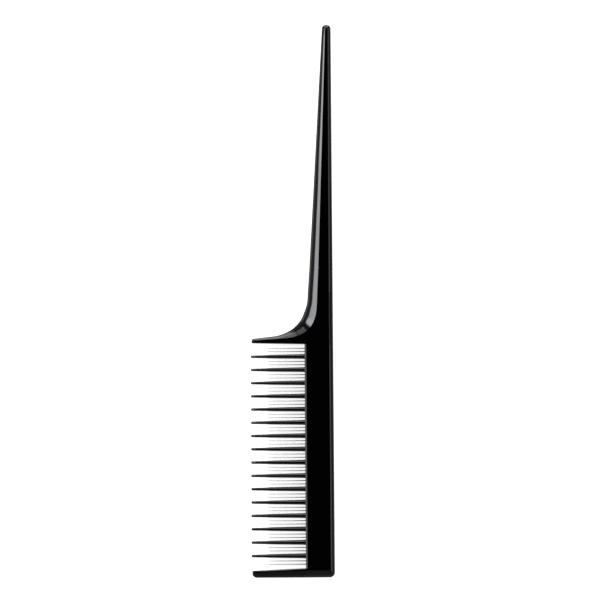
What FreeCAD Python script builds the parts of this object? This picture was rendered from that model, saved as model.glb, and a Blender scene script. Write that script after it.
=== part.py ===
"""Tail comb: sixteen long wide-set teeth with two fine short teeth in every gap.

The comb is one black moulding. It is modelled as its working sections, each a solid of its
own that meets its neighbours face to face: the spine, the shoulder, the tail, a guard tooth
at each end of the row, the long teeth and the short teeth. Millimetres.

It lies flat on the XY plane, with the tail toward +Y and the teeth toward -X. Every section
is drawn from the comb's datum, where the straight back, the bottom end and the middle of the
thickness meet.
"""
import FreeCAD
import Part
import Sketcher
import math
import os

Vector = FreeCAD.Vector

# Driving dimensions. Each name is also the alias of its cell in the spreadsheet.
sizes = {
    # The whole comb.
    "overallLength": 220.0,
    "spineThickness": 4.0,
    "spineWidth": 11.35,
    # The row of teeth, along the spine from the bottom end.
    "longToothCount": 16,
    "toothPitch": 5.207,
    "endGap": 4.8,               # a guard tooth's edge to the middle of the next long tooth
    "shortToothOffset": 0.65,    # the middle of a gap to each of its two short teeth
    # All teeth.
    "toothRootDepth": 3.0,
    "toothTipDepth": 1.3,
    "toothFaceShare": 0.45,      # flat part of a tooth's width and of its depth
    "tipRounding": 0.45,
    "tipEndShare": 0.5,          # what is left of a tip's width at its rounded end
    # Long teeth.
    "longToothLength": 21.35,
    "longRootWidth": 2.13,
    "longFootLength": 1.3,       # the flared foot of each long tooth
    "longFootWidth": 1.85,
    "longStepWidth": 1.5,        # just short of the short teeth's tips
    "longNeckWidth": 1.16,       # just past the short teeth's tips
    "longStepLength": 0.7,
    "longTipWidth": 0.9,
    # Short teeth.
    "shortToothLength": 14.75,
    "shortRootWidth": 0.44,
    "shortTipWidth": 0.18,
    # Guard teeth.
    "guardToothLength": 21.0,
    "guardTipThickness": 2.4,
    "endGuardRootWidth": 3.6,
    "endGuardTipWidth": 2.7,
    "endGuardTipBevel": 1.9,
    "endGuardTipRadius": 1.8,
    "frontGuardRootWidth": 4.56, # where its upper edge would reach the spine with no sweep
    "frontGuardTipWidth": 1.75,
    "frontGuardRise": 0.5,       # how far its lower edge leans away from the teeth
    "frontGuardRootBevel": 1.8,
    "frontGuardTipBevel": 0.75,
    "frontGuardTipRadius": 1.1,
    # Shoulder.
    "shoulderHeight": 20.7,      # end of the tooth row to the start of the tail
    "shoulderLead": 2.9,         # straight run between the sweep and the tail
    "creaseRadius": 13.0,        # inner edge of the bevel that follows the sweep
    # Tail.
    "tailSetback": 1.55,         # how much narrower than the spine the tail starts
    "tailTipWidth": 3.45,
    "tailTipThickness": 2.6,
    "tailTipRounding": 1.3,
    "tailBevel": 3.75,
    "tailTipBevel": 1.2,
    # Bevels round the spine's faces.
    "backBevel": 1.7,
    "backTipBevel": 1.2,
    "endBevel": 2.8,
    "endCornerRadius": 2.0,
    "rootChamfer": 0.8,
    "sideBandShare": 0.35,       # upright side band, as a share of the half thickness
    "breakInsetShare": 0.3,      # where a bevel's two facets meet: across the bevel
    "breakHeightShare": 0.58,    # and up it
}

# Lengths that follow from the driving dimensions.
rowLength = "(Sheet.endGuardRootWidth + 2 * Sheet.endGap + (Sheet.longToothCount - 1) * Sheet.toothPitch)"
tailStart = "(%s + Sheet.shoulderHeight)" % rowLength
tailWidth = "(Sheet.spineWidth - Sheet.tailSetback)"
halfThickness = "(Sheet.spineThickness / 2)"

# The comb's datum in the document, so that the origin lies under the middle of the whole.
datum = ("(Sheet.spineWidth + Sheet.longToothLength) / 2", "-Sheet.overallLength / 2", halfThickness)

# A rounded nose in steps: how far along its rounding, and how far in from its sides.
noseSteps = ((0.0, 0.0), (0.7, 0.29), (1.0, 0.8))

# How far a cut's outline reaches past the solid that it cuts.
cutMargin = 1.0

document = FreeCAD.newDocument("TailComb")
sheet = document.addObject("Spreadsheet::Sheet", "Sheet")
for row, (alias, number) in enumerate(sizes.items(), start=1):
    sheet.set("A%d" % row, alias)
    sheet.set("B%d" % row, str(number))
    sheet.setAlias("B%d" % row, alias)
document.recompute()


def size(alias):
    """The number in one cell of the sheet."""
    return float(sheet.get(alias))


def worked(expression):
    """The number that one of the expressions above comes to."""
    return sheet.evalExpression(expression.replace("Sheet.", ""))


# ---- Bodies, sketches and features ----

def makeBody(label, alongX="0", alongY="0"):
    """An empty body, its origin moved from the datum by two expressions."""
    body = document.addObject("PartDesign::Body", label)
    body.Label = label
    body.setExpression("Placement.Base.x", "%s + %s" % (datum[0], alongX))
    body.setExpression("Placement.Base.y", "%s + %s" % (datum[1], alongY))
    body.setExpression("Placement.Base.z", datum[2])
    return body


def addSketch(body, name, plane, offset="0"):
    """An empty sketch on one of the body's own origin planes, moved along its normal."""
    sketch = body.newObject("Sketcher::SketchObject", "%s_%s" % (body.Label, name))
    support = [item for item in body.Origin.OriginFeatures if item.Role == plane][0]
    sketch.AttachmentSupport = [(support, "")]
    sketch.MapMode = "FlatFace"
    sketch.setExpression("AttachmentOffset.Base.z", offset)
    return sketch


def quarterArc(start, end):
    """A quarter circle that leaves start along the sketch's first axis."""
    centre = Vector(start.x, end.y, 0)
    radius = (start - centre).Length
    middle = centre + ((start - centre) + (end - centre)).normalize() * radius
    return Part.Arc(start, middle, end)


def drawOutline(sketch, corners, arcRadius=None):
    """Draw a closed outline. Each corner is a pair of expressions, tied to the sheet.

    With arcRadius, the first side is an anticlockwise quarter circle of that radius.
    """
    first = sketch.GeometryCount
    places = [[sketch.evalExpression(part) for part in corner] for corner in corners]
    points = [Vector(across, up, 0) for across, up in places]
    following = points[1:] + points[:1]
    sides = [Part.LineSegment(start, end) for start, end in zip(points, following)]
    if arcRadius:
        sides[0] = quarterArc(points[0], points[1])
    sketch.addGeometry(sides, False)
    count = len(corners)
    joins = [(first + index, first + (index + 1) % count) for index in range(count)]
    sketch.addConstraint([Sketcher.Constraint("Coincident", side, 2, after, 1) for side, after in joins])
    for index, (corner, place) in enumerate(zip(corners, places)):
        for kind, expression, value in zip(("DistanceX", "DistanceY"), corner, place):
            rule = sketch.addConstraint(Sketcher.Constraint(kind, -1, 1, first + index, 1, value))
            sketch.setExpression("Constraints[%d]" % rule, expression)
    if arcRadius:
        radius = sketch.evalExpression(arcRadius)
        rule = sketch.addConstraint(Sketcher.Constraint("Radius", first, radius))
        sketch.setExpression("Constraints[%d]" % rule, arcRadius)


def addPocket(body, sketch, length=None):
    """Cut a sketch through the whole body both ways, or to a length on its far side."""
    pocket = body.newObject("PartDesign::Pocket", sketch.Name + "Cut")
    pocket.Profile = sketch
    if length:
        pocket.setExpression("Length", length)
    else:
        pocket.Type = "ThroughAll"
        pocket.Midplane = True
    body.Tip = pocket


def addLoft(body, plane, stations):
    """Loft straight from outline to outline. A station is an offset and its corners."""
    sketches = []
    for number, (offset, corners) in enumerate(stations, start=1):
        sketch = addSketch(body, "station%d" % number, plane, offset)
        drawOutline(sketch, corners)
        sketches.append(sketch)
    loft = body.newObject("PartDesign::AdditiveLoft", body.Label + "_loft")
    loft.Profile = sketches[0]
    loft.Sections = sketches[1:]
    loft.Ruled = True
    body.Tip = loft


# ---- Sections ----

def bevelLevels(half):
    """Heights up a section's side with the bevel's inset there, as a share of its width."""
    band = "(%s * Sheet.sideBandShare)" % half
    fold = "(%s + (%s - %s) * Sheet.breakHeightShare)" % (band, half, band)
    return ((band, "0"), (fold, "Sheet.breakInsetShare"), (half, "1"))


def bevelledSide(edge, inward, half):
    """One side of a section from its lower face up to its upper face.

    inward is the bevel's width, signed toward the section's middle.
    """
    levels = bevelLevels(half)
    upper = [("%s + %s * (%s)" % (edge, share, inward), height) for height, share in levels]
    lower = [(across, "-" + height) for across, height in reversed(upper)]
    return lower + upper


def toothSection(width, depth):
    """Eight-sided section of a long tooth, about its own middle."""
    side = "(%s) / 2" % width
    face = "(%s) / 2" % depth
    flat = "Sheet.toothFaceShare"
    quarter = [(side, "%s * %s" % (face, flat)), ("%s * %s" % (side, flat), face)]
    left = [("-" + across, up) for across, up in reversed(quarter)]
    upper = quarter + left
    return upper + [(across, "-" + up) for across, up in reversed(upper)]


def bladeSection(width, depth):
    """Flat section of a short tooth, about its own middle."""
    side = "(%s) / 2" % width
    face = "(%s) / 2" % depth
    return [(side, "-" + face), (side, face), ("-" + side, face), ("-" + side, "-" + face)]


def depthAt(distance):
    """Depth of the row of teeth at a distance from the root line."""
    slope = "(Sheet.toothTipDepth - Sheet.toothRootDepth) / Sheet.longToothLength"
    return "(Sheet.toothRootDepth + (%s) * %s)" % (distance, slope)


# ---- Spine ----

def makeSpine():
    """The bar that carries the teeth, with a straight bevelled back and a bevelled end."""
    body = makeBody("spine")
    rootX = "-Sheet.spineWidth"
    section = addSketch(body, "section", "XZ_Plane")
    rootSide = [(rootX, halfThickness), (rootX, "-" + halfThickness)]
    drawOutline(section, bevelledSide("0", "-Sheet.backBevel", halfThickness) + rootSide)
    pad = body.newObject("PartDesign::Pad", "spine_pad")
    pad.Profile = section
    pad.Reversed = True
    pad.setExpression("Length", rowLength)
    body.Tip = pad

    # The faces drop to the depth of the teeth along the root line, between the guard teeth.
    chamfer = addSketch(body, "rootChamfer", "XZ_Plane", "-%s" % rowLength)
    outer = "%s - %g" % (rootX, cutMargin)
    inner = "%s + Sheet.rootChamfer" % rootX
    shelf = "Sheet.toothRootDepth / 2"
    above = "%s + %g" % (halfThickness, cutMargin)
    for sign in ("", "-"):
        drawOutline(chamfer, [
            (rootX, sign + shelf),
            (inner, sign + halfThickness),
            (inner, "%s(%s)" % (sign, above)),
            (outer, "%s(%s)" % (sign, above)),
            (outer, sign + shelf),
        ])
    addPocket(body, chamfer, "%s - Sheet.endGuardRootWidth" % rowLength)

    # The bottom end slopes like the back, only wider.
    end = addSketch(body, "endBevel", "YZ_Plane")
    slope = bevelledSide("0", "Sheet.endBevel", halfThickness)
    for sign, side in (("", slope[3:]), ("-", slope[2::-1])):
        rim = "%s(%s)" % (sign, above)
        outside = "-%g" % cutMargin
        drawOutline(end, side + [(side[-1][0], rim), (outside, rim), (outside, side[0][1])])
    addPocket(body, end)

    corner = addSketch(body, "endCorner", "XY_Plane")
    radius = "Sheet.endCornerRadius"
    drawOutline(corner, [
        ("-" + radius, "0"),
        ("0", radius),
        ("%g" % cutMargin, radius),
        ("%g" % cutMargin, "-%g" % cutMargin),
        ("-" + radius, "-%g" % cutMargin),
    ], arcRadius=radius)
    addPocket(body, corner)
    return body


# ---- Tail ----

def makeTail():
    """The long tapered tail, with a wide bevel on the teeth's side and a rounded point."""
    body = makeBody("tail", alongY=tailStart)
    root = (bevelledSide("0", "-Sheet.backBevel", halfThickness)
            + bevelledSide("-" + tailWidth, "Sheet.tailBevel", halfThickness)[::-1])
    stations = [("0", root)]
    tailLength = "(Sheet.overallLength - %s)" % tailStart
    for along, inset in noseSteps:
        offset = "-(%s - Sheet.tailTipRounding * %g)" % (tailLength, 1 - along)
        pull = "Sheet.tailTipRounding * %g" % inset
        half = "(Sheet.tailTipThickness / 2 * %g)" % (1 - inset / 2)
        back = bevelledSide("-" + pull, "-Sheet.backTipBevel * %g" % (1 - inset), half)
        front = bevelledSide("-Sheet.tailTipWidth + " + pull, "Sheet.tailTipBevel * %g" % (1 - inset), half)
        stations.append((offset, back + front[::-1]))
    addLoft(body, "XZ_Plane", stations)
    return body


# ---- Teeth ----

def makeEndGuardTooth():
    """The stout tooth that closes the row at the bottom end, bevelled like that end."""
    body = makeBody("end_guard_tooth", alongX="-Sheet.spineWidth")
    width = "Sheet.endGuardRootWidth"
    side = bevelledSide("0", "Sheet.endBevel", halfThickness)
    stations = [("0", side + [(width, halfThickness), (width, "-" + halfThickness)])]
    for along, inset in noseSteps:
        offset = "-(Sheet.guardToothLength - Sheet.endGuardTipRadius * %g)" % (1 - along)
        half = "(Sheet.guardTipThickness / 2 * %g)" % (1 - inset / 2)
        edge = "Sheet.endGuardTipRadius * %g" % inset
        upper = "Sheet.endGuardTipWidth"
        side = bevelledSide(edge, "Sheet.endGuardTipBevel * %g" % (1 - inset), half)
        stations.append((offset, side + [(upper, half), (upper, "-" + half)]))
    addLoft(body, "YZ_Plane", stations)
    return body


def makeLongTooth(number):
    """A long tooth: a flared foot, a step where the short teeth end, and a rounded tip."""
    place = ("Sheet.endGuardRootWidth + Sheet.endGap + %d * Sheet.toothPitch" % (number - 1))
    body = makeBody("long_tooth_%02d" % number, "-Sheet.spineWidth", place)
    outline = (
        ("0", "Sheet.longRootWidth"),
        ("Sheet.longFootLength", "Sheet.longFootWidth"),
        ("Sheet.shortToothLength - Sheet.longStepLength / 2", "Sheet.longStepWidth"),
        ("Sheet.shortToothLength + Sheet.longStepLength / 2", "Sheet.longNeckWidth"),
        ("Sheet.longToothLength - Sheet.tipRounding", "Sheet.longTipWidth"),
    )
    stations = [("-(%s)" % along, toothSection(width, depthAt(along))) for along, width in outline]
    tip = toothSection("Sheet.longTipWidth * Sheet.tipEndShare", "Sheet.toothTipDepth * Sheet.tipEndShare")
    stations.append(("-Sheet.longToothLength", tip))
    addLoft(body, "YZ_Plane", stations)
    return body


def makeShortTooth(number):
    """A fine short tooth, one of the two in its gap."""
    gap = (number - 1) // 2
    side = (-1, 1)[(number - 1) % 2]
    middle = "Sheet.endGuardRootWidth + Sheet.endGap + %g * Sheet.toothPitch" % (gap - 0.5)
    body = makeBody("short_tooth_%02d" % number, "-Sheet.spineWidth",
                    "%s + %d * Sheet.shortToothOffset" % (middle, side))
    neck = "Sheet.shortToothLength - Sheet.tipRounding"
    tipWidth = "Sheet.shortTipWidth * Sheet.tipEndShare"
    tipDepth = "%s * Sheet.tipEndShare" % depthAt("Sheet.shortToothLength")
    addLoft(body, "YZ_Plane", [
        ("0", bladeSection("Sheet.shortRootWidth", depthAt("0"))),
        ("-(%s)" % neck, bladeSection("Sheet.shortTipWidth", depthAt(neck))),
        ("-Sheet.shortToothLength", bladeSection(tipWidth, tipDepth)),
    ])
    return body


# ---- Shoulder and front guard tooth ----
# One swept edge runs from the tail, through the shoulder, to the guard tooth's point. Its
# bevel changes width all the way, between two arcs that have no common centre, so these two
# solids are ruled between computed outlines instead of being padded from one sketch.

def roundedCorner(before, corner, after, radius):
    """Start, end and centre of the arc that rounds a corner."""
    toBefore = (before - corner).normalize()
    toAfter = (after - corner).normalize()
    half = toBefore.getAngle(toAfter) / 2
    reach = radius / math.tan(half)
    centre = corner + (toBefore + toAfter).normalize() * (radius / math.sin(half))
    return corner + toBefore * reach, corner + toAfter * reach, centre


def arcEdge(start, end, centre):
    """The shorter arc from start to end."""
    radius = (start - centre).Length
    middle = centre + ((start - centre) + (end - centre)).normalize() * radius
    return Part.Arc(start, middle, end).toShape()


def outlineWire(items):
    """A closed wire through the items: points, or arc edges that join their neighbours."""
    edges = []
    ends = [(item, item) if isinstance(item, Vector) else
            (item.valueAt(item.FirstParameter), item.valueAt(item.LastParameter)) for item in items]
    for index, item in enumerate(items):
        if not isinstance(item, Vector):
            edges.append(item)
        following = ends[(index + 1) % len(items)][0]
        if ends[index][1].distanceToPoint(following) > 1e-6:
            edges.append(Part.makeLine(ends[index][1], following))
    return Part.Wire(edges)


def sweptEdge(inset):
    """Points of the swept edge; inset runs from 0 at the rim to 1 at the face's crease."""
    rowEnd = worked(rowLength)
    start = rowEnd + size("shoulderHeight")
    tailRoot = Vector(size("tailSetback") - size("spineWidth") + inset * size("tailBevel"), start, 0)
    tailTip = Vector(inset * size("tailTipBevel") - size("tailTipWidth"),
                     size("overallLength") - size("tailTipRounding"), 0)
    guardRoot = Vector(-size("spineWidth"),
                       rowEnd + size("frontGuardRootWidth") - inset * size("frontGuardRootBevel"), 0)
    guardTip = Vector(-size("spineWidth") - size("guardToothLength"),
                      rowEnd + size("frontGuardRise") + size("frontGuardTipWidth")
                      - inset * size("frontGuardTipBevel"), 0)
    # Corner where the tail's edge and the guard tooth's edge would meet.
    tailRun = (tailRoot.x - tailTip.x) / (tailRoot.y - tailTip.y)
    guardRise = (guardRoot.y - guardTip.y) / (guardRoot.x - guardTip.x)
    cornerX = ((tailRoot.x + tailRun * (guardRoot.y - guardRise * guardRoot.x - tailRoot.y))
               / (1 - tailRun * guardRise))
    corner = Vector(cornerX, guardRoot.y + guardRise * (cornerX - guardRoot.x), 0)
    return tailRoot, corner, guardTip


def sweep(inset):
    """Start, end, centre and crossing of the sweep's arc at one inset of its bevel."""
    tailRoot, corner, guardTip = sweptEdge(0.0)
    lead = size("shoulderLead") * (tailRoot - corner).Length / (tailRoot.y - corner.y)
    half = (tailRoot - corner).getAngle(guardTip - corner) / 2
    rimRadius = ((tailRoot - corner).Length - lead) * math.tan(half)
    radius = rimRadius + inset * (size("creaseRadius") - rimRadius)
    tailRoot, corner, guardTip = sweptEdge(inset)
    start, end, centre = roundedCorner(tailRoot, corner, guardTip, radius)
    rootX = -size("spineWidth")
    crossing = Vector(rootX, centre.y - math.sqrt(radius ** 2 - (rootX - centre.x) ** 2), 0)
    return start, crossing, end, centre


def levels(half):
    """Height and inset of the outlines that a solid of this half thickness is ruled through."""
    band = half * size("sideBandShare")
    fold = band + (half - band) * size("breakHeightShare")
    upper = [(band, 0.0), (fold, size("breakInsetShare")), (half, 1.0)]
    return [(-height, inset) for height, inset in reversed(upper)] + upper


def placeSolid(label, shape):
    """Put a finished solid into the document at the datum."""
    feature = document.addObject("Part::Feature", label)
    feature.Label = label
    feature.Shape = shape
    feature.Placement = FreeCAD.Placement(Vector(*[worked(part) for part in datum]), FreeCAD.Rotation())
    return feature


def makeShoulder():
    """The web between spine, tail and front guard tooth."""
    rowEnd = worked(rowLength)
    rootX = -size("spineWidth")
    wires = []
    for height, inset in levels(size("spineThickness") / 2):
        tailRoot = sweptEdge(inset)[0]
        start, crossing, _, centre = sweep(inset)
        backX = -inset * size("backBevel")
        wire = outlineWire([
            Vector(rootX, rowEnd, 0),
            Vector(backX, rowEnd, 0),
            Vector(backX, tailRoot.y, 0),
            tailRoot,
            arcEdge(start, crossing, centre),
        ])
        wire.translate(Vector(0, 0, height))
        wires.append(wire)
    return placeSolid("shoulder", Part.makeLoft(wires, True, True))


def makeFrontGuardTooth():
    """The tooth that closes the row at the tail end, thinner toward its point."""
    rowEnd = worked(rowLength)
    rootX = -size("spineWidth")
    rootLevels = levels(size("spineThickness") / 2)
    tipLevels = levels(size("guardTipThickness") / 2)
    wires = []
    for (rootHeight, inset), (tipHeight, inset) in zip(rootLevels, tipLevels):
        guardTip = sweptEdge(inset)[2]
        _, crossing, end, centre = sweep(inset)
        tipX = guardTip.x + inset * size("frontGuardTipBevel")
        tipTop = Vector(tipX, guardTip.y, 0)
        tipFoot = Vector(tipX, rowEnd + size("frontGuardRise"), 0)
        radius = size("frontGuardTipRadius") * (1 - inset / 2)
        noseStart, noseEnd, noseCentre = roundedCorner(end, tipTop, tipFoot, radius)
        wire = outlineWire([
            Vector(rootX, rowEnd, 0),
            arcEdge(crossing, end, centre),
            arcEdge(noseStart, noseEnd, noseCentre),
            tipFoot,
        ])
        wire.translate(Vector(0, 0, rootHeight))
        tilt = math.degrees(math.atan((tipHeight - rootHeight) / size("guardToothLength")))
        wire.rotate(Vector(rootX, 0, rootHeight), Vector(0, 1, 0), tilt)
        wires.append(wire)
    return placeSolid("front_guard_tooth", Part.makeLoft(wires, True, True))


# ---- The comb ----

longCount = int(size("longToothCount"))
nodes = [makeSpine(), makeShoulder(), makeTail(), makeFrontGuardTooth(), makeEndGuardTooth()]
nodes += [makeLongTooth(number) for number in range(1, longCount + 1)]
nodes += [makeShortTooth(number) for number in range(1, 2 * (longCount + 1) + 1)]
document.recompute()

for item in document.Objects:
    if "Invalid" in item.State or "Error" in item.State:
        raise RuntimeError("%s failed: %s" % (item.Label, item.State))
for node in nodes:
    if node.Shape.isNull() or not node.Shape.isValid() or len(node.Shape.Solids) != 1:
        raise RuntimeError("%s is not one valid solid" % node.Label)

os.makedirs("parts", exist_ok=True)
for node in nodes:
    node.Shape.exportStep("parts/%s.step" % node.Label)
print("%d nodes written" % len(nodes))
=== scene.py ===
import bmesh
import bpy
import math
from mathutils import Matrix, Vector
from mathutils.geometry import intersect_line_sphere_2d, intersect_point_line


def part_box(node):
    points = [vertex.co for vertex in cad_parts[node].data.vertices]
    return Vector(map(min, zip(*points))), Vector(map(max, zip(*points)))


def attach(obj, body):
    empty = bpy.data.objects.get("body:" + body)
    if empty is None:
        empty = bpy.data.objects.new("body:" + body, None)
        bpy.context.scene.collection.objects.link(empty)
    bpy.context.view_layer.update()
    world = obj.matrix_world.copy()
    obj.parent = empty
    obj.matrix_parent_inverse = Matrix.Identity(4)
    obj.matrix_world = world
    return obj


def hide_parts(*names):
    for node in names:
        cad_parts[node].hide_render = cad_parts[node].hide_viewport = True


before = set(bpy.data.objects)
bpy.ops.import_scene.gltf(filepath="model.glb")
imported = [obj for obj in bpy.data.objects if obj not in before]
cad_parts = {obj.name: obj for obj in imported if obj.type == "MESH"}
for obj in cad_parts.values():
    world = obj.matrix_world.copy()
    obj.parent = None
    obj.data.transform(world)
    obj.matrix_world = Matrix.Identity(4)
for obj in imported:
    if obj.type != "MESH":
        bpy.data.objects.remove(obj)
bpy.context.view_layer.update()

# Pieces are modelled in millimetres on the comb's own lines: the straight back at x 0,
# the bottom end at y 0 and the middle of the thickness at z 0.
spineLow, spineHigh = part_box("spine")
toFrame = (Matrix.Translation((spineHigh.x, spineLow.y, (spineLow.z + spineHigh.z) / 2))
           @ Matrix.Scale(0.001, 4))
toComb = toFrame.inverted()


def combBox(node):
    return [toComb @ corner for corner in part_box(node)]


rootX, rowEnd, half = combBox("spine")[0].x, combBox("spine")[1].y, combBox("spine")[1].z
tailStart, combEnd = combBox("tail")[0].y, combBox("tail")[1].y
guardTipX = combBox("front_guard_tooth")[0].x
print("frame read: a comb %.1f mm long and %.1f mm thick" % (combEnd, 2 * half))


def roundedCorner(before, corner, after, radius):
    # start, end and centre of the arc that rounds a corner
    toBefore = (before - corner).normalized()
    toAfter = (after - corner).normalized()
    opening = toBefore.angle(toAfter) / 2
    reach = radius / math.tan(opening)
    centre = corner + (toBefore + toAfter).normalized() * (radius / math.sin(opening))
    return corner + toBefore * reach, corner + toAfter * reach, centre


def arcPoint(start, end, centre, share):
    # a point part of the way round the shorter arc
    swing = (start - centre).angle_signed(end - centre)
    return centre + Matrix.Rotation(-swing * share, 2) @ (start - centre)


def arcStations(arcs, shapes, steps):
    stations = []
    for step in range(steps + 1):
        share = step / steps
        stations.append((*(arcPoint(*arc, share) for arc in arcs), shapes[0].lerp(shapes[1], share)))
    return stations


def edgeStations(corners, steps=12):
    # A corner is a point of the rim, one of the crease, the edge's shape there and, where the
    # outline turns, the radius of each. A station is the same without radii.
    stations = []
    for number, corner in enumerate(corners):
        if len(corner) == 3:
            stations.append(corner)
            continue
        before, after = corners[number - 1], corners[number + 1]
        arcs = [roundedCorner(before[side], corner[side], after[side], corner[3][side]) for side in (0, 1)]
        stations += arcStations(arcs, (corner[2], corner[2]), steps)
    return stations


def shape(fall, rounding):
    # an edge's rounding, as its drop for each millimetre of its width, and that width
    return Vector((fall, rounding))


edgeForm = {"turn": math.radians(50), "steps": 12}   # the part of a circle that rounds a rim
kneeSlope = math.cos(edgeForm["turn"]) / (1 + math.cos(edgeForm["turn"]))


near = 1e-4   # points closer than this are one place


def newParts(result, kind):
    return [item for item in result if isinstance(item, kind)]


def startProfile(bm):
    # the rounding from the rim at (0, 0) to its knee at (1, 1), and a straight bevel from there
    last = [bm.verts.new((0, 0, 0))]
    old = set(bm.verts) - set(last)
    spun = bmesh.ops.spin(bm, geom=last, cent=(1, 0, 0), axis=(0, 1, 0), angle=edgeForm["turn"],
                          steps=edgeForm["steps"])
    knee = newParts(spun["geom_last"], bmesh.types.BMVert)[0]
    verts = [vert for vert in bm.verts if vert not in old]
    bmesh.ops.scale(bm, vec=(1 / knee.co.x, 1, 1 / knee.co.z), verts=verts)
    verts.append(bm.verts.new((2, 0, 2)))
    bm.edges.new((knee, verts[-1]))
    return verts, list(dict.fromkeys(edge for vert in verts for edge in vert.link_edges))


def evenly(place):
    return half


def thinning(axis, start, end, share):
    # half thickness of a piece that thins toward one end
    return lambda place: half * (1 + (share - 1) * (place[axis] - start) / (end - start))


def stationMatrix(rim, crease, form, top):
    width = (crease - rim).length
    across = (crease - rim) * form[1] / width
    drop = form[0] * form[1]
    knee = top - form[0] * kneeSlope * (width - form[1])
    return Matrix(((across.x, -across.y, 0, rim.x), (across.y, across.x, 0, rim.y),
                   (0, 0, drop, knee - drop), (0, 0, 0, 1)))


def sweepEdge(bm, stations, topAt=evenly):
    # sweep the edge along its stations, drop its rim to mid-thickness, and return its crease
    verts, edges = startProfile(bm)
    here, rims, creases = Matrix(), [], []
    for station in stations:
        if rims:
            grown = bmesh.ops.extrude_edge_only(bm, edges=edges)["geom"]
            verts, edges = newParts(grown, bmesh.types.BMVert), newParts(grown, bmesh.types.BMEdge)
        top = topAt(station[1])
        there = stationMatrix(*station, top)
        bmesh.ops.transform(bm, matrix=there @ here.inverted(), verts=verts)
        here = there
        rims.append(min(verts, key=lambda vert: vert.co.z))
        creases.append(max(verts, key=lambda vert: vert.co.z))
        creases[-1].co = (*station[1], top)
    rimEdges = [bm.edges.get(pair) for pair in zip(rims, rims[1:])]
    growEdges(bm, rimEdges, Matrix.Diagonal((1, 1, 0, 1)))
    return creases


def growEdges(bm, edges, matrix):
    grown = bmesh.ops.extrude_edge_only(bm, edges=edges)["geom"]
    bmesh.ops.transform(bm, matrix=matrix, verts=newParts(grown, bmesh.types.BMVert))
    return newParts(grown, bmesh.types.BMEdge)


def joinPoints(bm, first, places, last):
    # straight edges from one vertex to another by way of some places
    verts = [first, *(bm.verts.new(place) for place in places), last]
    return verts, [bm.edges.new(pair) for pair in zip(verts, verts[1:])]


def fillFace(bm, creases, joins):
    # the flat face inside the creases; its shading stays flat up to its outline
    edges = [bm.edges.get(pair) for chain in creases for pair in zip(chain, chain[1:])]
    face = bmesh.ops.edgeloop_fill(bm, edges=edges + joins)["faces"][0]
    for edge in face.edges:
        edge.smooth = False


def mirrorHalves(bm):
    geom = bm.verts[:] + bm.edges[:] + bm.faces[:]
    bmesh.ops.mirror(bm, geom=geom, matrix=Matrix(), merge_dist=near, axis="Z")


def capPlane(bm, axis, place):
    # close what is still open in one plane
    edges = [edge for edge in bm.edges if len(edge.link_faces) < 2
             and all(abs(vert.co[axis] - place) < near for vert in edge.verts)]
    bmesh.ops.edgeloop_fill(bm, edges=edges)


sharpAngle = math.radians(30)
pieces = []


def finishPiece(bm, node, shift=(0, 0, 0)):
    # a finished mesh in the frame, as a piece that stands for its CAD node
    bmesh.ops.recalc_face_normals(bm, faces=bm.faces)
    for edge in bm.edges:
        if len(edge.link_faces) == 2 and edge.calc_face_angle() > sharpAngle:
            edge.smooth = False
    for face in bm.faces:
        face.smooth = True
    mesh = bpy.data.meshes.new(node + "_moulding")
    bm.to_mesh(mesh)
    mesh.transform(toFrame @ Matrix.Translation(shift))
    piece = bpy.data.objects.new(node + "_moulding", mesh)
    bpy.context.scene.collection.objects.link(piece)
    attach(piece, "root")
    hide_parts(node)
    pieces.append(piece)


def point(x, y):
    return Vector((x, y))


# The one long edge that sweeps from the tail's point, round the shoulder, to the guard tooth's point.
swept = {
    "tailTipWidth": 3.45, "tailTipBevel": 1.2, "tailTipRadii": (1.55, 0.2), "tailTip": shape(0.53, 0.86),
    "middleShare": 0.62, "tailMiddle": shape(0.515, 1.78),   # how far up the tail this form lies
    "tailRootX": -9.8, "tailRootBevel": 3.75, "tailRoot": shape(0.5, 2.21),
    "flare": 0.12, "flareShare": 0.085, "flareForm": 0.14,   # the tail's foot runs out a little
    "lead": 2.9, "creaseRadius": 12.0, "bend": shape(0.58, 2.7),
    "swell": 0.2, "draw": 0.1, "lift": 0.15,   # how far the bend strays from its two arcs
    "guardRootRise": 4.56, "guardRootBevel": 1.7, "guardRoot": shape(0.485, 1.12),
    "guardTipRise": 2.25, "guardTipBevel": 0.75, "guardTipRadii": (1.1, 0.3), "guardTip": shape(0.5, 0.62),
    "guardFootRise": 0.5, "guardFootRadii": (0.5, 0.1),
    "steps": 48, "leadSteps": 10,
}
back = {"bevel": 1.55, "tipBevel": 1.2, "form": shape(0.72, 1.12), "tipForm": shape(0.6, 0.9)}
softEdge = 0.3   # width of the edges that have hardly any bevel
softForm = shape(1.0, 0.25)
tailThin, guardThin = 0.65, 0.6   # what is left of the thickness at each point
guardThinLead = 1   # the front guard tooth starts to thin this far beyond its root


def sweptCorner(inset):
    # ends and corner of the swept edge: inset 0 is its rim, 1 its crease
    tailRoot = point(swept["tailRootX"] + inset * swept["tailRootBevel"], tailStart)
    tailTip = point(inset * swept["tailTipBevel"] - swept["tailTipWidth"], combEnd - swept["tailTipRadii"][0])
    guardRoot = point(rootX, rowEnd + swept["guardRootRise"] - inset * swept["guardRootBevel"])
    guardTip = point(guardTipX, rowEnd + swept["guardTipRise"] - inset * swept["guardTipBevel"])
    tailRun = (tailRoot.x - tailTip.x) / (tailRoot.y - tailTip.y)
    guardRun = (guardRoot.y - guardTip.y) / (guardRoot.x - guardTip.x)
    x = ((tailRoot.x + tailRun * (guardRoot.y - guardRun * guardRoot.x - tailRoot.y))
         / (1 - tailRun * guardRun))
    return tailRoot, point(x, guardRoot.y + guardRun * (x - guardRoot.x)), guardTip


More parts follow.
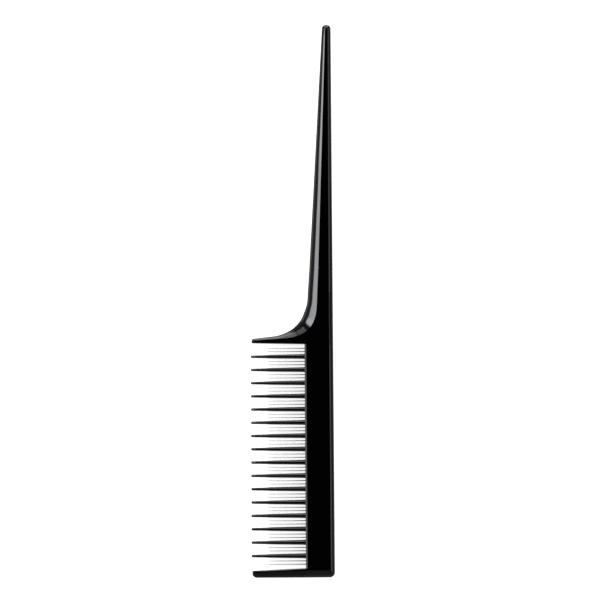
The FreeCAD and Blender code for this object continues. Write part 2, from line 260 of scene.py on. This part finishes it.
def sweptArc(inset):
    # start, end and centre of the arc that joins the tail to the guard tooth
    tailRoot, corner, guardTip = sweptCorner(0)
    lead = swept["lead"] * (tailRoot - corner).length / (tailRoot.y - corner.y)
    opening = (tailRoot - corner).angle(guardTip - corner) / 2
    rimRadius = ((tailRoot - corner).length - lead) * math.tan(opening)
    return roundedCorner(*sweptCorner(inset), rimRadius + inset * (swept["creaseRadius"] - rimRadius))


def bendShift(along, late=0):
    # The bend leaves the tail softly and closes tighter toward the tooth than one arc would.
    swell = swept["swell"] if along < 0.5 else late
    out = swell * math.sin(2 * math.pi * along) ** 2
    if along < 0.5:
        out += swept["flare"] * math.cos(math.pi * along) ** 2
    turn = along * math.pi / 2
    return point(-out * math.cos(turn), out * math.sin(turn))


def sweptStations():
    # Through the bend the bevel lies square to its crease: each point of the crease has the
    # point of the rim straight across from it.
    rimArc, creaseArc = sweptArc(0), sweptArc(1)
    rimRadius = (rimArc[0] - rimArc[2]).length
    tailRoot, guardTip = sweptCorner(1)[0], sweptCorner(1)[2]
    first = intersect_point_line(rimArc[0], tailRoot, creaseArc[0])[0]
    last = intersect_point_line(rimArc[1], creaseArc[1], guardTip)[0]
    creases = [first.lerp(creaseArc[0], step / swept["leadSteps"]) for step in range(1, swept["leadSteps"])]
    creases += [arcPoint(*creaseArc, step / swept["steps"]) for step in range(swept["steps"] + 1)]
    creases += [creaseArc[1].lerp(last, step / swept["leadSteps"]) for step in range(1, swept["leadSteps"])]
    stations = [(sweptCorner(0)[0], tailRoot), (rimArc[0], first)]
    for number, crease in enumerate(creases):
        along = creases[min(number + 1, len(creases) - 1)] - creases[max(number - 1, 0)]
        hits = intersect_line_sphere_2d(crease, crease + along.orthogonal(), rimArc[2], rimRadius, False)
        stations.append((min(hits, key=lambda hit: (hit - crease).length), crease))
    stations.append((rimArc[1], last))
    middle = (len(stations) - 1) / 2
    shapes = [
        swept["tailRoot"].lerp(swept["bend"], (number / middle) ** 2) if number < middle
        else swept["bend"].lerp(swept["guardRoot"], number / middle - 1)
        for number in range(len(stations))
    ]
    places = [number / middle / 2 for number in range(len(stations))]
    return [(rim + bendShift(along, -swept["draw"]), crease + bendShift(along, swept["lift"]), form)
            for (rim, crease), along, form in zip(stations, places, shapes)]


def guardTop(place):
    # half thickness of the shoulder and of the guard tooth, which thins toward its point
    start = rootX - guardThinLead
    return half * (1 + (guardThin - 1) * max(0, (place.x - start) / (guardTipX - start)))


def cutSheet(bm, chain, keepsSpine):
    # cut what is built so far at the root line; return what is left of the crease
    bmesh.ops.bisect_plane(bm, geom=bm.verts[:] + bm.edges[:] + bm.faces[:], plane_co=(rootX, 0, 0),
                           plane_no=(1, 0, 0), clear_inner=keepsSpine, clear_outer=not keepsSpine)
    left = [vert for vert in chain if vert.is_valid]
    end = left[-1] if keepsSpine else left[0]
    beside = [edge.other_vert(end) for edge in end.link_edges]
    corner = max((vert for vert in beside if abs(vert.co.x - rootX) < near), key=lambda vert: vert.co.z)
    return left + [corner] if keepsSpine else [corner] + left


def buildTail():
    tip = combEnd - swept["tailTipBevel"]
    rootRim, rootCrease = sweptCorner(0)[0], sweptCorner(1)[0]
    tipRim = point(-swept["tailTipWidth"], combEnd)
    tipCrease = point(swept["tailTipBevel"] - swept["tailTipWidth"], tip)

    def partWay(share, form):
        return rootRim.lerp(tipRim, share), rootCrease.lerp(tipCrease, share), form

    corners = [
        (rootRim + bendShift(0), rootCrease + bendShift(0), swept["tailRoot"]),
        partWay(swept["flareShare"], swept["tailRoot"].lerp(swept["tailMiddle"], swept["flareForm"])),
        partWay(swept["middleShare"], swept["tailMiddle"]),
        (tipRim, tipCrease, swept["tailTip"], swept["tailTipRadii"]),
        (point(0, combEnd), point(-back["tipBevel"], tip), back["tipForm"], swept["tailTipRadii"]),
        (point(0, tailStart), point(-back["bevel"], tailStart), back["form"]),
    ]
    bm = bmesh.new()
    crease = sweepEdge(bm, edgeStations(corners), thinning(1, tailStart, combEnd, tailThin))
    fillFace(bm, [crease], joinPoints(bm, crease[-1], [], crease[0])[1])
    mirrorHalves(bm)
    capPlane(bm, 1, tailStart)
    finishPiece(bm, "tail")


def buildShoulder():
    right = [(point(0, y), point(-back["bevel"], y), back["form"]) for y in (tailStart, rowEnd)]
    bm = bmesh.new()
    leftCrease = cutSheet(bm, sweepEdge(bm, sweptStations(), guardTop), True)
    backCrease = sweepEdge(bm, right)
    verts, rootJoin = joinPoints(bm, backCrease[-1], [(rootX, rowEnd, half)], leftCrease[-1])
    fillFace(bm, [leftCrease, backCrease], rootJoin + joinPoints(bm, backCrease[0], [], leftCrease[0])[1])
    bm.edges.new((verts[1], bm.verts.new((rootX, rowEnd, 0))))
    mirrorHalves(bm)
    for axis, place in ((1, tailStart), (1, rowEnd), (0, rootX)):
        capPlane(bm, axis, place)
    finishPiece(bm, "shoulder")


def buildFrontGuardTooth():
    stations = sweptStations()
    tipCrease = guardTipX + swept["guardTipBevel"]
    topY, footY = rowEnd + swept["guardTipRise"], rowEnd + swept["guardFootRise"]
    corners = [
        stations[-1],
        (point(guardTipX, topY), point(tipCrease, topY - swept["guardTipBevel"]),
         swept["guardTip"], swept["guardTipRadii"]),
        (point(guardTipX, footY), point(tipCrease, footY + softEdge), softForm, swept["guardFootRadii"]),
        (point(rootX, rowEnd), point(rootX, rowEnd + softEdge), softForm),
    ]
    bm = bmesh.new()
    crease = cutSheet(bm, sweepEdge(bm, stations[:-1] + edgeStations(corners), guardTop), False)
    fillFace(bm, [crease], joinPoints(bm, crease[-1], [], crease[0])[1])
    mirrorHalves(bm)
    capPlane(bm, 0, rootX)
    finishPiece(bm, "front_guard_tooth")


spineForm = {
    "endBevel": 2.8, "endForm": shape(0.45, 1.6),
    "cornerForm": shape(0.55, 1.5), "cornerRadii": (2.0, 0.3),
    "rootChamfer": 0.66, "rootDrop": 0.41,
    "guardWidth": 3.6, "guardTipWidth": 2.7, "guardTipBevel": 1.9, "guardTipForm": shape(0.4, 1.1),
    "guardTipShare": 0.7,   # the bevel's run in from the point, as a share of its width along the side
    "guardTipRadii": (1.8, 0.2), "guardFootRadii": (0.6, 0.1),
    "steps": 16,
}


def buildSpine():
    form = spineForm
    corners = [
        (point(0, rowEnd), point(-back["bevel"], rowEnd), back["form"]),
        (point(0, 0), point(-back["bevel"], form["endBevel"]), form["cornerForm"], form["cornerRadii"]),
        (point(rootX, 0), point(rootX, form["endBevel"]), form["endForm"]),
    ]
    bm = bmesh.new()
    crease = sweepEdge(bm, edgeStations(corners, form["steps"]))
    inner = rootX + form["rootChamfer"]
    places = [(rootX, form["guardWidth"], half), (inner, form["guardWidth"], half), (inner, rowEnd, half)]
    verts, joins = joinPoints(bm, crease[-1], places, crease[0])
    fillFace(bm, [crease], joins)
    chamferEdge = growEdges(bm, [joins[2]], Matrix.Translation((-form["rootChamfer"], 0, -form["rootDrop"])))
    growEdges(bm, chamferEdge, Matrix.Diagonal((1, 1, 0, 1)))
    foot = min(chamferEdge[0].verts, key=lambda vert: vert.co.y)
    chamferEnd = [joins[1], bm.edges.get((verts[2], foot)), bm.edges.new((verts[1], foot))]
    bmesh.ops.edgeloop_fill(bm, edges=chamferEnd)
    mirrorHalves(bm)
    for axis, place in ((1, rowEnd), (0, rootX)):
        capPlane(bm, axis, place)
    finishPiece(bm, "spine")


def buildEndGuardTooth():
    form = spineForm
    tipCrease = guardTipX + form["guardTipBevel"] * form["guardTipShare"]
    corners = [
        (point(rootX, 0), point(rootX, form["endBevel"]), form["endForm"]),
        (point(guardTipX, 0), point(tipCrease, form["guardTipBevel"]),
         form["guardTipForm"], form["guardTipRadii"]),
        (point(guardTipX, form["guardTipWidth"]), point(tipCrease, form["guardTipWidth"] - softEdge),
         softForm, form["guardFootRadii"]),
        (point(rootX, form["guardWidth"]), point(rootX, form["guardWidth"] - softEdge), softForm),
    ]
    bm = bmesh.new()
    crease = sweepEdge(bm, edgeStations(corners, form["steps"]), thinning(0, rootX, guardTipX, guardThin))
    fillFace(bm, [crease], joinPoints(bm, crease[-1], [], crease[0])[1])
    mirrorHalves(bm)
    capPlane(bm, 0, rootX)
    finishPiece(bm, "end_guard_tooth")


longTooth = {
    "count": 16, "length": 21.35,
    "widths": ((0, 2.13), (0.35, 2.02), (0.8, 1.94), (1.3, 1.89), (6.0, 1.73), (13.3, 1.47), (14.3, 1.4),
               (15.3, 1.3), (20.85, 1.1)),
    "rootDepth": 3.0, "tipDepth": 1.3,
    "cornerShare": 0.75, "cornerSteps": 5,   # rounding of the section, as a share of its half width
    "tipSteps": 5,
}
shortTooth = {
    "count": 34, "length": 14.75,
    "widths": ((0, 0.44), (0.4, 0.38), (5.7, 0.27), (9.7, 0.225), (14.4, 0.19)),
    "rootDepth": 3.0, "tipDepth": 1.3,
    "cornerShare": 0.7, "cornerSteps": 2,
    "tipSteps": 3,
}


tipTurn = 1.45   # just short of a quarter turn, so that a tooth's point keeps a small end face


def toothRings(form):
    # how far along each section stands, and its half width and half depth
    slope = (form["tipDepth"] - form["rootDepth"]) / longTooth["length"]
    rings = [(along, width / 2, (form["rootDepth"] + slope * along) / 2) for along, width in form["widths"]]
    along, side, face = rings[-1]
    turn = tipTurn / form["tipSteps"]
    for step in range(1, form["tipSteps"] + 1):
        reach = (form["length"] - along) * math.sin(turn * step) / math.sin(tipTurn)
        rings.append((along + reach, side * math.cos(turn * step), face * math.cos(turn * step)))
    return rings


def buildTooth(form):
    # a tapered tooth from its root along -x, its section a rounded oblong that closes to a point
    bm = bmesh.new()
    bmesh.ops.create_grid(bm, x_segments=1, y_segments=1, size=1)
    bmesh.ops.bevel(bm, geom=bm.verts[:], offset=form["cornerShare"], offset_type="OFFSET",
                    segments=form["cornerSteps"], profile=0.5, affect="VERTICES", material=-1)
    verts, edges, here = bm.verts[:], bm.edges[:], Matrix()
    for number, (along, side, face) in enumerate(toothRings(form)):
        if number:
            grown = bmesh.ops.extrude_edge_only(bm, edges=edges)["geom"]
            verts, edges = newParts(grown, bmesh.types.BMVert), newParts(grown, bmesh.types.BMEdge)
        there = Matrix(((0, 0, 1, -along), (side, 0, 0, 0), (0, face, 0, 0), (0, 0, 0, 1)))
        bmesh.ops.transform(bm, matrix=there @ here.inverted(), verts=verts)
        here = there
    bmesh.ops.edgeloop_fill(bm, edges=edges)
    return bm


def placeTeeth(form, stem):
    for number in range(1, form["count"] + 1):
        node = "%s_%02d" % (stem, number)
        low, high = combBox(node)
        finishPiece(buildTooth(form), node, (rootX, (low.y + high.y) / 2, 0))


buildSpine()
buildShoulder()
buildTail()
buildFrontGuardTooth()
buildEndGuardTooth()
placeTeeth(longTooth, "long_tooth")
placeTeeth(shortTooth, "short_tooth")
print("pieces built:", len(pieces))


class Value:
    # a socket that takes part in Python sums: each operator adds its Math node
    def __init__(self, recipe, socket):
        self.recipe, self.socket = recipe, socket

    def sum(self, operation, *terms):
        return self.recipe.add("ShaderNodeMath", {"operation": operation}, dict(enumerate(terms)))[0]

    def __add__(self, other):
        return self.sum("ADD", self, other)

    def __mul__(self, other):
        return self.sum("MULTIPLY", self, other)

    __radd__, __rmul__ = __add__, __mul__


class Recipe:
    # the node tree of one material, lamp or world, emptied but for its output
    def __init__(self, owner):
        owner.use_nodes = True
        self.tree = owner.node_tree
        for node in self.tree.nodes[:]:
            if "Output" not in node.bl_idname:
                self.tree.nodes.remove(node)
        self.output = self.tree.nodes[0]

    def add(self, kind, settings, inputs):
        node = self.tree.nodes.new(kind)
        for name, setting in settings.items():
            if name == "stops":
                for number, (place, colour) in enumerate(setting):
                    stops = node.color_ramp.elements
                    stop = stops[number] if number < 2 else stops.new(place)
                    stop.position, stop.color = place, (*colour, 1)
            else:
                setattr(node, name, setting)
        for name, value in inputs.items():
            if isinstance(value, Value):
                self.tree.links.new(value.socket, node.inputs[name])
            else:
                node.inputs[name].default_value = value
        return [Value(self, socket) for socket in node.outputs]

    def finish(self, shader):
        self.tree.links.new(shader.socket, self.output.inputs["Surface"])


gloss = {
    "colour": (0.0004, 0.0004, 0.0005),
    "bloom": (0.0007, 0.0007, 0.0008),   # where handling has dulled it
    "ior": 1.5,
    "roughness": 0.045, "hazeRoughness": 0.02, "scratchRoughness": 0.03,
    "hazeScale": 90.0, "swellScale": 45.0,
    "scratchScale": (2400.0, 60.0, 2400.0),   # drawn out along the comb
    "bump": 0.3, "relief": 0.00001, "scratchHeight": 0.05,
}


def glossPlastic():
    material = bpy.data.materials.new("comb_gloss_plastic")
    recipe = Recipe(material)
    place = recipe.add("ShaderNodeTexCoord", {}, {})[3]
    drawn = recipe.add("ShaderNodeMapping", {}, {"Vector": place, "Scale": gloss["scratchScale"]})[0]

    def noise(where, scale, detail):
        return recipe.add("ShaderNodeTexNoise", {}, {"Vector": where, "Scale": scale, "Detail": detail})[0]

    haze = noise(place, gloss["hazeScale"], 3.0)
    scratch = noise(drawn, 1.0, 2.0)
    swell = noise(place, gloss["swellScale"], 1.0)
    colour = recipe.add("ShaderNodeMix", {"data_type": "RGBA"}, {
        0: haze, 6: (*gloss["colour"], 1), 7: (*gloss["bloom"], 1),
    })[2]
    roughness = gloss["roughness"] + gloss["hazeRoughness"] * haze + gloss["scratchRoughness"] * scratch
    bump = recipe.add("ShaderNodeBump", {}, {
        "Strength": gloss["bump"], "Distance": gloss["relief"],
        "Height": swell + gloss["scratchHeight"] * scratch,
    })[0]
    shader = recipe.add("ShaderNodeBsdfPrincipled", {}, {
        "Base Color": colour, "Roughness": roughness, "IOR": gloss["ior"], "Normal": bump,
    })[0]
    recipe.finish(shader)
    return material


plastic = glossPlastic()
for piece in pieces:
    piece.data.materials.append(plastic)
print("surface given to %d pieces" % len(pieces))


def rayKinds(recipe):
    # the kinds of ray by name; each value is 1 for a ray of its kind
    return {value.socket.name: value for value in recipe.add("ShaderNodeLightPath", {}, {})}


studio = {
    "floorSize": 6, "floorGlow": 0.85, "floorColour": (0.75, 0.75, 0.75, 1),
    # the sky's grey from the horizon up; the first and second stop are its ends
    "sky": ((0.0, (0.65, 0.65, 0.66)), (0.94, (0.0, 0.0, 0.0)), (0.5, (0.6, 0.6, 0.6)),
            (0.68, (0.3, 0.3, 0.3)), (0.8, (0.15, 0.15, 0.15))),
}


def buildFloor():
    bm = bmesh.new()
    bmesh.ops.create_grid(bm, x_segments=1, y_segments=1, size=studio["floorSize"])
    mesh = bpy.data.meshes.new("floor")
    bm.to_mesh(mesh)
    floor = bpy.data.objects.new("floor", mesh)
    bpy.context.scene.collection.objects.link(floor)
    material = bpy.data.materials.new("floor_paper")
    recipe = Recipe(material)
    rays = rayKinds(recipe)
    seen = rays["Is Camera Ray"]
    for kind in ("Is Glossy Ray", "Is Transmission Ray"):
        seen = recipe.add("ShaderNodeMath", {"operation": "MAXIMUM"}, {0: seen, 1: rays[kind]})[0]
    glow = recipe.add("ShaderNodeEmission", {}, {
        "Color": (1, 1, 1, 1), "Strength": seen * studio["floorGlow"],
    })[0]
    paper = recipe.add("ShaderNodeBsdfDiffuse", {}, {"Color": studio["floorColour"]})[0]
    recipe.finish(recipe.add("ShaderNodeAddShader", {}, {0: glow, 1: paper})[0])
    floor.data.materials.append(material)


def buildWorld():
    world = bpy.data.worlds.new("studio")
    bpy.context.scene.world = world
    recipe = Recipe(world)
    rays = rayKinds(recipe)
    direction = recipe.add("ShaderNodeTexCoord", {}, {})[0]
    up = recipe.add("ShaderNodeSeparateXYZ", {}, {0: direction})[2]
    grey = recipe.add("ShaderNodeValToRGB", {"stops": studio["sky"]}, {"Fac": up})[0]
    white = recipe.add("ShaderNodeMix", {"data_type": "RGBA"}, {
        0: rays["Is Camera Ray"], 6: grey, 7: (1, 1, 1, 1),
    })[2]
    recipe.finish(recipe.add("ShaderNodeBackground", {}, {"Color": white, "Strength": 1.0})[0])


buildFloor()
buildWorld()

# Softboxes. Those under the ceiling face down and span x and y; a wall stands upright and faces
# the comb. Radiance is in the units of the picture, so 1 would show as white.
ceiling = 2.5
lampColour = (0.94, 0.965, 1)
lamps = {
    "leftStrip": {"x": (-1.08, -0.6), "y": (0.2, 0.48), "radiance": 8.4},
    "leftStripMiddle": {"x": (-1.08, -0.6), "y": (0.48, 0.6), "radiance": 8.9},
    "leftStripFar": {"x": (-1.14, -0.6), "y": (0.6, 0.88), "radiance": 10.0},
    "leftStripEnd": {"x": (-1.05, -0.7), "y": (0.88, 0.93), "radiance": 2.5},
    "leftFade": {"x": (-1.14, -1.08), "y": (0.2, 0.6), "radiance": 3.0},
    "leftFadeFar": {"x": (-1.25, -1.14), "y": (0.6, 0.86), "radiance": 3.5},
    "leftFill": {"x": (-4.5, -1.16), "y": (-0.8, 1.1), "radiance": 0.22},
    "sweepPatch": {"x": (-0.73, -0.63), "y": (1.1, 1.24), "radiance": 2.5},
    "sweepFade": {"x": (-0.63, -0.58), "y": (1.1, 1.3), "radiance": 0.6},
    "sweepGlow": {"x": (-1.0, -0.6), "y": (1.75, 2.4), "radiance": 1.1},
    "guardPatch": {"x": (-0.58, -0.1), "y": (1.16, 1.32), "radiance": 2.9},
    "guardGlow": {"x": (-0.6, 0.9), "y": (1.32, 2.2), "radiance": 5.5},
    "guardGlowFar": {"x": (-1.2, 1.2), "y": (2.4, 4.9), "radiance": 4.8},
    "rightStrip": {"x": (1.15, 1.65), "y": (-1.2, 1.2), "radiance": 1.3},
    "nearFill": {"x": (-1.6, 1.6), "y": (-4.0, -0.8), "radiance": 0.15},
    "leftWall": {"wall": -3.0, "z": (1.0, 2.5), "width": 6.0, "radiance": 1.5},
}


def hangLamp(name, form):
    lamp = bpy.data.lights.new(name, "AREA")
    holder = bpy.data.objects.new(name, lamp)
    bpy.context.scene.collection.objects.link(holder)
    if "wall" in form:
        size = (form["width"], form["z"][1] - form["z"][0])
        holder.location = (form["wall"], 0, sum(form["z"]) / 2)
        holder.rotation_euler = Vector((-form["wall"], 0, 0)).to_track_quat("-Z", "Y").to_euler()
    else:
        size = [high - low for low, high in (form["x"], form["y"])]
        holder.location = (sum(form["x"]) / 2, sum(form["y"]) / 2, ceiling)
    lamp.shape, lamp.size, lamp.size_y = "RECTANGLE", *size
    lamp.energy = form["radiance"] * math.pi * size[0] * size[1]
    lamp.color = lampColour


for name, form in lamps.items():
    hangLamp(name, form)


view = {
    "target": (0.00334, -0.00103, 0.002),
    "from": (0.00298, -0.05768, 0.6495),
    "lens": 98.2,
}


def placeCamera():
    camera = bpy.data.cameras.new("camera")
    camera.lens, camera.sensor_width = view["lens"], 36
    camera.clip_start, camera.clip_end = 0.01, 50
    holder = bpy.data.objects.new("camera", camera)
    bpy.context.scene.collection.objects.link(holder)
    holder.location = view["from"]
    aim = Vector(view["target"]) - Vector(view["from"])
    holder.rotation_euler = aim.to_track_quat("-Z", "Y").to_euler()
    bpy.context.scene.camera = holder


placeCamera()
bpy.context.scene.view_settings.view_transform = "Standard"
print("stage set: %d lamps" % len(lamps))

bpy.context.view_layer.update()
